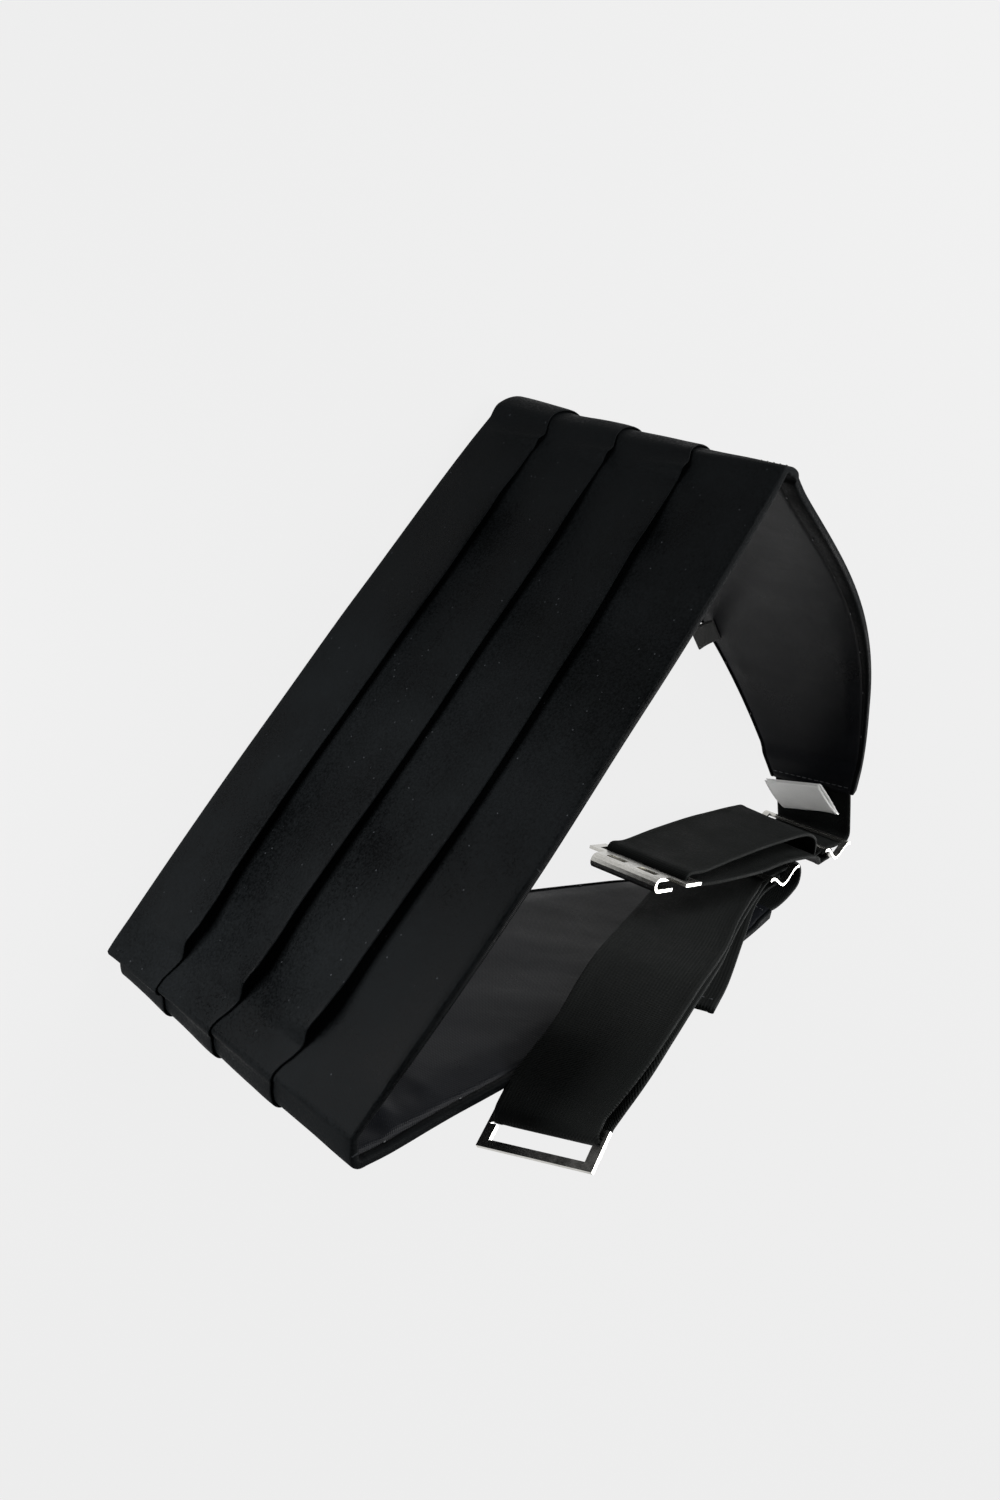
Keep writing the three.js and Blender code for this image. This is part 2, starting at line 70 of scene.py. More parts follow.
# How far the three edges lie off their even lines, as shares of the height: a distance along
# the sash, then the first, second and third edge.
PLEAT_SETTLED = (
    (-135, 0, 0, 0),
    (-108, -0.009, -0.006, -0.012),
    (-99, -0.021, -0.017, -0.021),
    (-90, -0.014, -0.013, -0.017),
    (-81, -0.009, -0.006, -0.011),
    (-72, -0.001, -0.001, -0.013),
    (-45, 0.005, 0, -0.002),
    (0, 0.001, 0.002, 0.001),
    (27, -0.002, -0.001, 0),
    (45, -0.001, -0.003, -0.001),
    (72, 0.008, 0, 0),
    (90, 0.028, 0.015, 0.007),
    (99, 0.011, -0.002, -0.008),
    (108, -0.012, -0.025, -0.027),
    (128, -0.008, -0.016, -0.016),
    (150, 0, 0, 0),
)

# Thicknesses and openings of the cloth: the ply below, each flap, and the pocket behind it.
PLY = 1.0
FLAP = 1.2
PRESSED_FLAP = 0.8
FLAP_EDGE = 0.7
PLEAT_DEPTH = 12
PLEAT_SEWN_DEPTH = 1.5
POCKET = 1.9
POCKET_WIDEST = 3.5
POCKET_SEWN = 0.2
HOOK_GAPE = 1.7
RING_GAPE = 1.2
LINING = 0.8
GAP = 0.3
SEAM = 0.1
FACING_TOP = 6
RING_FACING_TOP = 2.4
FACING_BOTTOM = 2
FACING_END = 1.5

# The straps, and how they lie in the wing's end, round a bar and in a slider.
STRAP_WIDTH = 37
STRAP = 1.3
SELVEDGE_CORD = 0.09
STRAP_STEP = 1.7
HEM = 8.0
HEM_ROW = 6.5
TONGUE = 10
BAR_WRAP = 2.6
LOOP_NEAR = 1.6
LOOP_FAR = 5.2

# How the panel leans on its edge, and where its middle lies.
LEAN = -9.52
ROLL = 0.37
PLACE = Vector((9.22, -121.40, 65.85))

CAMERA_PLACE = (0.09592, -0.34777, 0.37459)
CAMERA_TURN = (-14.783, -38.997, 132.970)
CAMERA_LENS = 30.583
CAMERA_SENSOR = 36

LAID = (
    Matrix.Scale(MM, 4)
    @ Matrix.Translation(PLACE)
    @ Matrix.Rotation(math.radians(LEAN), 4, "X")
    @ Matrix.Rotation(math.radians(ROLL), 4, "Y")
)


def mix(a, b, t):
    return a + (b - a) * t


def clamp(x, low=0.0, high=1.0):
    return max(low, min(high, x))


def smooth(x, low, high):
    t = clamp((x - low) / (high - low))
    return t * t * (3 - 2 * t)


def unit(v):
    return v / np.linalg.norm(v)


def bump_at(x, middle, reach):
    return math.exp(-(((x - middle) / reach) ** 2))


# Soft unevenness of cloth: a few waves of fixed length and place, about -1 to 1.
WAVES = (
    (1.0, 0.31, 0.9),
    (0.62, -0.78, 1.7),
    (-0.35, 1.3, 2.9),
    (1.71, 0.66, 4.1),
    (2.3, -1.9, 5.3),
)


def ripple(x, y, seed):
    total = 0.0
    for i, (a, b, phase) in enumerate(WAVES):
        total += math.sin(a * x + b * y + phase * (seed + 1) + i) / (1 + 0.5 * i)
    return total / 3


def side_length(side):
    return FOLD_END + side["wing"]


# Where the frame cuts one side of the sash across.
def cut_distances(side):
    last = side_length(side)
    cuts = []
    for start, end, step in (
        (0, PANEL_LENGTH / 2, 12),
        (PANEL_LENGTH / 2, FOLD_END, 2.4),
        (FOLD_END, last - 18, 9),
        (last - 18, last, 4.5),
    ):
        count = round((end - start) / step)
        cuts += [mix(start, end, i / count) for i in range(count)]
    return cuts + [last]


# A value that runs smoothly through three given ones: at a wing's start, middle and end.
def along_wing(values, share):
    start, middle, end = values
    return (
        start * (1 - share) * (1 - 2 * share)
        + middle * 4 * share * (1 - share)
        + end * share * (2 * share - 1)
    )


# The frame's stations from the panel's middle to one wing's end.
def walk(side):
    stations = []
    point = np.zeros(3)
    along = np.array([side["sign"], 0.0, 0.0])
    up = np.array([0.0, 0.0, 1.0])
    cuts = cut_distances(side)
    last = side_length(side)
    for i, distance in enumerate(cuts):
        out = np.cross(along, up) * side["sign"]
        taper = clamp((distance - TAPER_START) / (last - TAPER_START))
        middle = point - up * side["low"] * taper
        stations.append({
            "distance": distance, "point": middle, "along": along, "up": up, "out": out})
        if i == len(cuts) - 1:
            break
        length = cuts[i + 1] - distance
        at = distance + length / 2
        turn = twist = 0.0
        if at > FOLD_END:
            share = (at - FOLD_END) / side["wing"]
            turn = math.radians(along_wing(side["bow"], share)) * length / 100
            twist = math.radians(mix(side["twist"][0], side["twist"][1], share)) * length / 100
        elif at > PANEL_LENGTH / 2:
            turn = math.radians(side["fold"]) * length / FOLD_LENGTH
            twist = math.radians(side["skew"]) * length / FOLD_LENGTH
        following = unit(along - out * turn)
        up = up + out * twist
        up = unit(up - following * np.dot(following, up))
        point = point + unit(along + following) * length
        along = following
    return stations


def whole_sash():
    hook_half = walk(HOOK_SIDE)[1:]
    hook_half = [{**s, "distance": -s["distance"], "along": -s["along"]} for s in hook_half]
    return hook_half[::-1] + walk(RING_SIDE)


# How a fold spreads its turn over its length: shares of the length and of the turn.
SOFT_FOLD = ((0, 0), (0.06, 0), (0.22, 0.36), (0.8, 0.74), (1, 1))
STEPPED_FOLD = ((0, 0), (0.03, 0), (0.12, 0.36), (0.62, 0.55), (1, 1))
SHARP_FOLD = ((0, 0), (0.03, 0), (0.13, 0.84), (1, 1))
FOLD_STEPS = 28


# The stations with one fold's turn spread in its own way, ending where the even fold ends.
def with_fold(stations, side, shares):
    sign = side["sign"]
    first = min(stations, key=lambda s: abs(s["distance"] - sign * PANEL_LENGTH / 2))
    last = min(stations, key=lambda s: abs(s["distance"] - sign * FOLD_END))
    inwards = -first["out"]
    ahead = np.array([sign, 0.0, 0.0])
    steps = [i / FOLD_STEPS for i in range(FOLD_STEPS + 1)]
    turns = np.radians(side["fold"]) * np.interp(steps, *zip(*shares))
    place = first["point"]
    places = [place]
    for a, b in zip(turns[:-1], turns[1:]):
        middle = (a + b) / 2
        heading = ahead * math.cos(middle) + inwards * math.sin(middle)
        place = place + heading * FOLD_LENGTH / FOLD_STEPS
        places.append(place)
    short = last["point"] - places[-1]
    made = []
    for t, turn, place in zip(steps, turns, places):
        share = turn / turns[-1]
        made.append({
            "distance": sign * (PANEL_LENGTH / 2 + FOLD_LENGTH * t),
            "point": place + short * smooth(t, 0.15, 1),
            "up": unit(mix(first["up"], last["up"], share)),
        })
    kept = [s for s in stations if not PANEL_LENGTH / 2 <= sign * s["distance"] <= FOLD_END]
    return sorted(kept + made, key=lambda s: s["distance"])


# A smooth line through the stations, so that any distance along the sash has a place.
class Sash:
    def __init__(self, hook_fold, ring_fold):
        stations = with_fold(whole_sash(), HOOK_SIDE, hook_fold)
        stations = with_fold(stations, RING_SIDE, ring_fold)
        self.at = np.array([s["distance"] for s in stations])
        self.point = np.array([s["point"] for s in stations])
        self.up = np.array([s["up"] for s in stations])
        self.slope = np.gradient(self.point, self.at, axis=0)

    def place(self, distance):
        i = int(np.clip(np.searchsorted(self.at, distance) - 1, 0, len(self.at) - 2))
        length = self.at[i + 1] - self.at[i]
        t = (distance - self.at[i]) / length
        h = (2 * t**3 - 3 * t**2 + 1, t**3 - 2 * t**2 + t, -2 * t**3 + 3 * t**2, t**3 - t**2)
        point = (
            h[0] * self.point[i]
            + h[1] * length * self.slope[i]
            + h[2] * self.point[i + 1]
            + h[3] * length * self.slope[i + 1]
        )
        along = unit(mix(self.slope[i], self.slope[i + 1], t))
        up = mix(self.up[i], self.up[i + 1], t)
        up = unit(up - along * np.dot(along, up))
        return point, along, up, np.cross(along, up)


UPPER_SASH = Sash(SOFT_FOLD, STEPPED_FOLD)
LOWER_SASH = Sash(SOFT_FOLD, SHARP_FOLD)
HOOK_END = -side_length(HOOK_SIDE)
RING_END = side_length(RING_SIDE)


def side_of(distance):
    return HOOK_SIDE if distance < 0 else RING_SIDE


def to_end(distance):
    return side_length(side_of(distance)) - abs(distance)


def cloth_height(distance):
    last = side_length(side_of(distance))
    taper = clamp((abs(distance) - TAPER_START) / (last - TAPER_START))
    return mix(PANEL_HEIGHT, WING_END_HEIGHT, taper**TAPER_POWER)


def to_fold(distance):
    return PANEL_LENGTH / 2 - abs(distance)


# How far the pleats stand open: pinched and then gaping a little by the hook's fold, and
# widest just before the ring's fold, where they are sewn down within a few millimetres.
def pocket(distance):
    near = to_fold(distance)
    if distance < 0:
        gape = HOOK_GAPE * bump_at(near, 6, 2.4)
        return POCKET_SEWN + smooth(near, 12, 34) * (POCKET - POCKET_SEWN) + gape
    wide = smooth(distance, 10, 92) * (POCKET_WIDEST - POCKET)
    wide += RING_GAPE * bump_at(distance, 90, 7)
    return POCKET_SEWN + smooth(near, 9, 15) * (POCKET - POCKET_SEWN + wide)


# The flap's thickness: pressed thin at the folds and in the wings.
def flap(distance):
    return mix(PRESSED_FLAP, FLAP, smooth(to_fold(distance), 1, 16))


def pleat_depth(distance):
    return mix(PLEAT_SEWN_DEPTH, PLEAT_DEPTH, smooth(to_fold(distance), 2, 14))


SETTLED_AT, *SETTLED_BY = zip(*PLEAT_SETTLED)


# The three free edges' heights above the cloth's middle line.
def pleat_edges(distance, height):
    share = clamp(distance / PANEL_LENGTH + 0.5)
    in_panel = smooth(to_fold(distance), -PLEAT_SHIFT, PLEAT_SHIFT)
    edges = []
    for edge, settled_by in zip(PLEAT_EDGES, SETTLED_BY):
        sewn = edge["hook_fold"] if distance < 0 else edge["ring_fold"]
        free = mix(edge["hook_side"], edge["ring_side"], share)
        free += edge["bow"] * math.sin(math.pi * share)
        wander = 0.3 * ripple(distance / 31, sewn * 9, 2)
        wander += 0.12 * ripple(distance / 7, sewn * 5, 8)
        settled = np.interp(distance, SETTLED_AT, settled_by)
        edges.append((mix(sewn, free, in_panel) + settled - 0.5) * height + wander * in_panel)
    return edges


# The lining steps in over the strap's end, and narrow satin facings lie beside it.
def tongue_step(distance):
    return (STRAP + GAP) * (1 - smooth(to_end(distance), TONGUE + 2, TONGUE + 8))


def facings(distance):
    away = 1 - smooth(to_end(distance), 0, HOOK_SIDE["wing"])
    top = mix(FACING_TOP, RING_FACING_TOP, smooth(distance, 20, PANEL_LENGTH / 2 - 5))
    return mix(top, FACING_END, away), mix(FACING_BOTTOM, FACING_END, away)


# How the hand-pressed cloth departs from the frame's even shape, in mm.
CORNER_OUT = 2.0
HOOK_FOLD_OUT = 1.0
RING_WING_TOP_IN = 1.9
RING_WING_LOW_IN = 2.1
HOOK_WING_SAG = 1.4
RING_CREASE_LOW = 2.0
RING_CREASE_TOP = 0.5
RING_TUCK = 1.2


def drift_outwards(distance, share):
    corner = smooth(-distance, 30, 112) * (1 - smooth(-distance, 116, 140))
    outwards = CORNER_OUT * corner * (1 - smooth(share, 0.0, 0.3))
    outwards += HOOK_FOLD_OUT * smooth(share, 0.1, 0.4) * bump_at(distance, -116, 9)
    if distance > FOLD_END:
        away = smooth(distance, FOLD_END, FOLD_END + 40)
        outwards -= RING_WING_TOP_IN * share * away * smooth(to_end(distance), 70, 130)
        outwards -= RING_WING_LOW_IN * (1 - share) * away * smooth(to_end(distance), 15, 50)
    return outwards


def drift_up(distance, share):
    if distance >= 0:
        return 0.0
    hook_wing = smooth(-distance, PANEL_LENGTH / 2, FOLD_END + 10) * smooth(to_end(distance), 8, 60)
    return -HOOK_WING_SAG * hook_wing * smooth(share, 0.4, 1.0)


# Along the panel: the ring's crease lies a little ahead, and the fold's cloth tucks in below.
def drift_ahead(distance, share):
    behind = 1 - smooth(distance, 126, 150)
    ahead = smooth(distance, 60, 108) * behind * mix(RING_CREASE_LOW, RING_CREASE_TOP, share)
    in_fold = smooth(distance, PANEL_LENGTH / 2, PANEL_LENGTH / 2 + 7) * behind
    return ahead - RING_TUCK * in_fold * (1 - clamp(share / 0.6))


# Where the cloth is cut across: closely at the folds, and wider apart where it runs flat.
def fine_distances():
    cuts = []
    for start, end, step in (
        (HOOK_END, -FOLD_END, 2.6),
        (-FOLD_END, -PANEL_LENGTH / 2, 0.7),
        (-PANEL_LENGTH / 2, -PANEL_LENGTH / 2 + 22, 1.1),
        (-PANEL_LENGTH / 2 + 22, PANEL_LENGTH / 2 - 22, 2.9),
        (PANEL_LENGTH / 2 - 22, PANEL_LENGTH / 2, 1.1),
        (PANEL_LENGTH / 2, FOLD_END, 0.5),
        (FOLD_END, FOLD_END + 36, 1.5),
        (FOLD_END + 36, RING_END, 2.6),
    ):
        count = round((end - start) / step)
        cuts += [mix(start, end, i / count) for i in range(count)]
    return cuts + [RING_END]


BAND_STEPS = 12
FULLNESS = 0.22
SOFT_WAVE = 0.30
CREASE_WAVE = 0.10


# One pleat's face: flat against the cloth where it starts, rising softly to its free edge.
def band_face(low, edge, top, distance, number):
    points = []
    fullness = FULLNESS * smooth(to_fold(distance), 0, 40)
    by_fold = 1 + 2.0 * bump_at(to_fold(distance), 8, 10)
    for i in range(BAND_STEPS):
        t = i / BAND_STEPS
        across = mix(low, edge, t)
        out = mix(PLY, top, 0.7 * t + 0.3 * smooth(t, 0.1, 1.0))
        out += fullness * math.sin(math.pi * t)
        soft = SOFT_WAVE * ripple(distance / 23, across / 11, number)
        crease = CREASE_WAVE * by_fold * ripple(distance / 7.5, across / 5, number + 3)
        out += (soft + crease) * math.sin(math.pi * t) ** 0.5
        points.append((across, out))
    return points


# The satin's section from its lower edge up the front, into each pocket, and down the back.
def satin_section(distance):
    height = cloth_height(distance)
    low = -height / 2
    high = height / 2
    thick = flap(distance)
    top = PLY + pocket(distance) + thick
    lip = min(FLAP_EDGE, top - PLY - GAP - 0.1)
    depth = pleat_depth(distance)
    back = -(LINING + GAP + tongue_step(distance))
    facing_top, facing_bottom = facings(distance)
    section = [(low + 0.6, back), (low + 0.16, back + 0.2), (low, back + 0.7)]
    section += [(low, PLY - 0.75), (low + 0.2, PLY - 0.2)]
    start = low + 0.7
    for number, edge in enumerate(pleat_edges(distance, height)):
        section += band_face(start, edge - 0.6, top, distance, number)
        section += [(edge - 0.6, top), (edge - 0.2, top - 0.05), (edge - 0.04, top - 0.2)]
        section += [(edge, top - lip / 2), (edge - 0.08, top - 0.8 * lip), (edge - 0.4, top - lip)]
        for t in (0.35, 0.7):
            section.append((edge - 0.4 - (depth - 0.4) * t, mix(top - lip, PLY + GAP, t)))
        section += [(edge - depth, PLY + GAP), (edge - depth, PLY)]
        section += [(edge - depth * t, PLY) for t in (0.7, 0.35)]
        start = edge
    section += band_face(start, high - 0.8, PLY + thick, distance, 3)
    section += [(high - 0.8, PLY + thick), (high - 0.25, PLY + thick - 0.2)]
    section += [(high, PLY + thick - 0.6)]
    section += [(high, back + 0.7), (high - 0.16, back + 0.2), (high - 0.6, back)]
    section += [(high - facing_top, back), (high - facing_top, 0)]
    section += [(mix(high - facing_top, low + facing_bottom, t), 0) for t in (0.25, 0.5, 0.75)]
    section += [(low + facing_bottom, 0), (low + facing_bottom, back)]
    return section


# Puckers that a seam draws along a long edge, fading away from it.
def pucker(distance, from_edge, seed):
    fade = math.exp(-max(from_edge, 0) / 7)
    wave = ripple(distance / 3.1, from_edge / 30, seed)
    wave += 0.6 * ripple(distance / 7.3, 0.0, seed + 2)
    return fade * wave


BUNCHED = 1.9


# The lining's spare length, bunched by the ring's fold below the upper edge.
def bunched(distance, from_top):
    if distance < PANEL_LENGTH / 2:
        return 0.0
    near = smooth(distance, PANEL_LENGTH / 2 + 2, FOLD_END - 2)
    near *= 1 - smooth(distance, FOLD_END + 14, FOLD_END + 44)
    high = 1 - smooth(from_top, 12, 46)
    lumps = 0.55 + ripple(distance / 2.9, from_top / 4.3, 9)
    lumps += 0.5 * ripple(distance / 6.1, from_top / 2.6, 2)
    return BUNCHED * near * high * max(0.0, lumps)


LINING_STEPS = 44


# The lining's section: flat against the satin, and loose on its inner face within the wings.
def lining_section(distance):
    height = cloth_height(distance)
    facing_top, facing_bottom = facings(distance)
    low = -height / 2 + facing_bottom + SEAM
    high = height / 2 - facing_top - SEAM
    face = -GAP - tongue_step(distance)
    in_wing = smooth(abs(distance), FOLD_END - 10, FOLD_END + 40)
    loose = in_wing * smooth(to_end(distance), 8, 40)
    inner = []
    for i in range(LINING_STEPS + 1):
        t = i / LINING_STEPS
        across = mix(low, high, t)
        soft = 0.75 * ripple(distance / 26, across / 15, 5)
        soft += 0.22 * ripple(distance / 9, across / 6, 7)
        drawn = 0.7 * (pucker(distance, across - low, 1) + pucker(distance, high - across, 4))
        room = smooth(t, 0, 0.12) * (1 - smooth(t, 0.88, 1))
        lift = max(0.0, 0.55 + soft) * room + max(0.0, drawn) * min(1.0, 8 * t, 8 - 8 * t)
        lift *= loose
        lift += bunched(distance, high - across) * min(1.0, 12 - 12 * t)
        rolled = 0.3 * (math.exp(-(across - low) / 0.7) + math.exp(-(high - across) / 0.7))
        inner.append((across, face - LINING - lift + rolled * LINING))
    outer = [(mix(high, low, t), face) for t in (0, 0.25, 0.5, 0.75, 1)]
    return outer + inner


def add_object(name, data):
    made = bpy.data.objects.new(name, data)
    bpy.context.scene.collection.objects.link(made)
    return made


def mesh_object(name, points, faces):
    mesh = bpy.data.meshes.new(name)
    mesh.from_pydata([LAID @ Vector(p) for p in points], [], faces)
    mesh.validate()
    mesh.update()
    mesh.polygons.foreach_set("use_smooth", [True] * len(mesh.polygons))
    return add_object(name, mesh)


# A closed tube from rings of points. Its UV runs along the piece and across it, in metres.
def sweep(name, rings, at, across):
    size = len(rings[0])
    points = [tuple(p) for ring in rings for p in ring]
    faces = []
    marks = []
    for i in range(len(rings) - 1):
        for j in range(size):
            k = (j + 1) % size
            faces.append((i * size + j, i * size + k, (i + 1) * size + k, (i + 1) * size + j))
            u0, u1 = at[i], at[i + 1]
            v0, v1 = across[i][j], across[i][k]
            w0, w1 = across[i + 1][j], across[i + 1][k]
            marks += [(u0, v0), (u0, v1), (u1, w1), (u1, w0)]
    last = (len(rings) - 1) * size
    faces.append(tuple(range(size - 1, -1, -1)))
    marks += [(at[0], across[0][j]) for j in range(size - 1, -1, -1)]
    faces.append(tuple(last + j for j in range(size)))
    marks += [(at[-1], across[-1][j]) for j in range(size)]
    made = mesh_object(name, points, faces)
    layer = made.data.uv_layers.new(name="cloth")
    layer.data.foreach_set("uv", [MM * c for mark in marks for c in mark])
    turn_outwards(made)
    return made


# Turns every face of a closed piece outwards.
def turn_outwards(made):
    work = bmesh.new()
    work.from_mesh(made.data)
    bmesh.ops.recalc_face_normals(work, faces=work.faces)
    work.to_mesh(made.data)
    work.free()


# Where a point of the cloth's section lies: the two sashes mixed by its height, and the drift.
def on_cloth(distance, across, out, lower, upper):
    share = clamp(across / cloth_height(distance) + 0.5)
    point, _, up, outward = [mix(p, q, clamp(share / 0.92)) for p, q in zip(lower, upper)]
    place = point + unit(up) * (across + drift_up(distance, share))
    place = place + unit(outward) * (out + drift_outwards(distance, share))
    return place + np.array((drift_ahead(distance, share), 0.0, 0.0)), unit(outward)


def cloth_piece(name, section_of):
    rings = []
    across = []
    distances = fine_distances()
    for distance in distances:
        upper = UPPER_SASH.place(distance)
        lower = LOWER_SASH.place(distance)
        section = section_of(distance)
        rings.append([on_cloth(distance, a, o, lower, upper)[0] for a, o in section])
        across.append([a for a, o in section])
    return sweep(name, rings, distances, across)


# A row for stitches over the cloth, through points given as distance, height and depth.
def cloth_row(points, outside):
    row = []
    for distance, across, out in points:
        lower, upper = LOWER_SASH.place(distance), UPPER_SASH.place(distance)
        place, outward = on_cloth(distance, across, out, lower, upper)
        row.append((place, outward if outside else -outward))
    return row


FELL_STITCHES = 26


# The lining is felled by hand to the satin along both edges of each wing, and sewn at its end.
def wing_rows(side):
    last = side_length(side)
    rows = []
    for edge in (-1, 1):
        points = []
        for i in range(FELL_STITCHES + 1):
            distance = side["sign"] * mix(FOLD_END + 8, last - 14, i / FELL_STITCHES)
            top, bottom = facings(distance)
            inset = (top if edge > 0 else bottom) + SEAM / 2
            depth = GAP + tongue_step(distance) + LINING
            points.append((distance, edge * (cloth_height(distance) / 2 - inset), -depth))
        rows.append(cloth_row(points, False))
    end = side["sign"] * (last - 4)
    reach = cloth_height(end) / 2 - 3
    depth = GAP + tongue_step(end) + LINING + 0.05
    close = cloth_row([(end, -reach, -depth), (end, reach, -depth)], False)
    return rows, close


# A metal piece's place: u along its strap, v across it, and h out of its flat face.
def hardware(origin, u, v):
    across = unit(np.array(v, float))
    run = np.array(u, float)
    run = unit(run - across * np.dot(run, across))
    return {"origin": np.array(origin, float), "u": run, "v": across, "h": np.cross(across, run)}


HOOK_SLIDER = hardware((-88.4, 241.2, -1.8), (0.62, -0.785, 0), (0, 0, 1))
HOOK_BAR = hardware((-17.2, 124.1, 13.9), (0.52, -0.85, 0.12), (-0.03, 0, 1))
RING_SLIDER = hardware((-58, 209.5, -1.5), (0.71, -0.7, 0), (0, 0, 1))
RING_BAR = hardware((82.9, 56.7, 73.7), (0.91, -0.29, 0.3), (-0.29, -0.08, 0.95))
UPRIGHT = (0, 0, 1)


def spot(place, u, h, v=0.0):
    return place["origin"] + place["u"] * u + place["h"] * h + place["v"] * v


def knot(x, y, z, across):
    return np.array((x, y, z), float), unit(np.array(across, float))


def on(place, u, h):
    return spot(place, u, h), place["v"]


# The strap's end between satin and lining, and on beyond the wing.
def tongue_knots(side, reach):
    stations = [s for s in walk(side) if side_length(side) - s["distance"] <= TONGUE]
    at = -(GAP + STRAP / 2)
    knots = [(s["point"] + s["out"] * at, s["up"]) for s in stations]
    end = stations[-1]
    return knots + [(end["point"] + end["out"] * at + end["along"] * reach, end["up"])]


def through_slider(place):
    flat = [on(place, u, 0) for u in (-9, -4.5, 0, 4.5, 9)]
    return flat + [on(place, 13.5, 0.45)]


def round_bar(place):
    knots = [on(place, -7, -BAR_WRAP), on(place, -3, -BAR_WRAP)]
    for turn in range(-90, 91, 30):
        a = math.radians(turn)
        knots.append(on(place, BAR_WRAP * math.cos(a), BAR_WRAP * math.sin(a)))
    return knots + [on(place, -3, BAR_WRAP), on(place, -7, BAR_WRAP)]


def round_middle_bar(place, first, last):
    centre = (LOOP_NEAR + LOOP_FAR) / 2
    radius = (LOOP_FAR - LOOP_NEAR) / 2
    side = math.copysign(1, first - centre)
    knots = [on(place, 1.5, first)]
    for turn in range(90, -91, -36):
        a = math.radians(turn)
        height = centre + side * radius * math.sin(a)
        knots.append(on(place, -1.2 - radius * math.cos(a), height))
    return knots + [on(place, 1.5, last)]


# The straps' routes follow the frame's knots, a few of them moved by a millimetre or two.
HOOK_ROUTE = [
    *tongue_knots(HOOK_SIDE, 7),
    knot(-103.2, 251, -3.2, (-0.08, 0.03, 1)),
    knot(-100, 254.6, -2.8, (-0.04, 0, 1)),
    knot(-96.4, 253.4, -2.4, UPRIGHT),
    *through_slider(HOOK_SLIDER),
    knot(-80.6, 211.2, 3.6, UPRIGHT),
    knot(-59.9, 177.3, 7.8, UPRIGHT),
    knot(-38.2, 148.6, 10.8, (-0.03, 0.03, 1)),
    *round_bar(HOOK_BAR),
    knot(-25.7, 143, 13.6, (-0.03, 0, 1)),
    knot(-43.6, 169.4, 12.3, UPRIGHT),
    knot(-58.1, 188.6, 10.6, UPRIGHT),
    knot(-72.8, 213.8, 7.6, UPRIGHT),
    on(HOOK_SLIDER, 8, LOOP_FAR + 0.3),
    *round_middle_bar(HOOK_SLIDER, LOOP_FAR, LOOP_NEAR),
    on(HOOK_SLIDER, 6, LOOP_NEAR + 0.1),
]
RING_ROUTE = [
    *tongue_knots(RING_SIDE, 7),
    knot(-57.5, 228, -0.6, UPRIGHT),
    knot(-63.5, 230.2, -0.9, UPRIGHT),
    knot(-68.4, 226.6, -1.2, UPRIGHT),
    knot(-68.9, 220.6, -1.4, UPRIGHT),
    *through_slider(RING_SLIDER),
    knot(-36, 181, 8, (-0.12, 0.16, 1)),
    knot(-16, 154, 22, (-0.28, 0.34, 0.9)),
    knot(4, 120, 41, (-0.22, 0.36, 0.92)),
    knot(28, 82, 60.5, (-0.2, 0.14, 0.97)),
    knot(54.5, 60.5, 72, (-0.27, -0.03, 0.96)),
    *round_bar(RING_BAR),
    knot(56.6, 64.6, 72, (-0.27, -0.03, 0.96)),
    knot(31.8, 86, 60.1, (-0.2, 0.14, 0.97)),
    knot(7.8, 123.6, 40.4, (-0.22, 0.36, 0.92)),
    knot(-13, 157, 22, (-0.28, 0.34, 0.9)),
    knot(-34, 184, 8, (-0.12, 0.16, 1)),
    on(RING_SLIDER, 8, LOOP_NEAR + 0.1),
    *round_middle_bar(RING_SLIDER, LOOP_NEAR, LOOP_FAR),
    on(RING_SLIDER, 8, LOOP_FAR + 0.4),
    knot(-35, 190, 6, (-0.12, 0.16, 1)),
    knot(-12, 165, 22, (-0.24, 0.3, 0.93)),
    knot(12.8, 134, 41.4, (-0.24, 0.3, 0.93)),
    knot(26, 117.5, 50.3, (-0.24, 0.26, 0.94)),
]


# A point and a direction on the frame's own curve through the knots.
def curve_at(points, i, t):
    p1, p2 = points[i], points[i + 1]
    p0 = points[i - 1] if i > 0 else 2 * p1 - p2
    p3 = points[i + 2] if i + 2 < len(points) else 2 * p2 - p1
    d0, d1, d2 = (math.sqrt(np.linalg.norm(b - a)) for a, b in ((p0, p1), (p1, p2), (p2, p3)))
    m1 = ((p1 - p0) / d0 - (p2 - p0) / (d0 + d1) + (p2 - p1) / d1) * d1
    m2 = ((p2 - p1) / d1 - (p3 - p1) / (d1 + d2) + (p3 - p2) / d2) * d1
    c2 = 3 * (p2 - p1) - 2 * m1 - m2
    c3 = 2 * (p1 - p2) + m1 + m2
    return p1 + m1 * t + c2 * t * t + c3 * t**3, unit(m1 + 2 * c2 * t + 3 * c3 * t * t)


def strap_line(route):
    points = [p for p, _ in route]
    line = []
    run = 0.0
    for i in range(len(route) - 1):
        length = np.linalg.norm(points[i + 1] - points[i])
        count = max(1, round(length / STRAP_STEP))
        last = i == len(route) - 2
        for j in range(count + (1 if last else 0)):
            t = j / count
            place, along = curve_at(points, i, t)
            if line:
                run += np.linalg.norm(place - line[-1]["place"])
            across = mix(route[i][1], route[i + 1][1], t)
            across = unit(across - along * np.dot(along, across))
            line.append({"place": place, "along": along, "across": across, "run": run})
    return even_line(line)


EVEN_REACH = 6


# Spreads a turn in the strap's own plane over some length, so that its sections never cross.
def even_line(line):
    evened = []
    for i, s in enumerate(line):
        near = line[max(0, i - EVEN_REACH):i + EVEN_REACH + 1]
        across = unit(sum(n["across"] for n in near))
        evened.append({**s, "across": across, "face": unit(np.cross(s["along"], across))})
    return evened


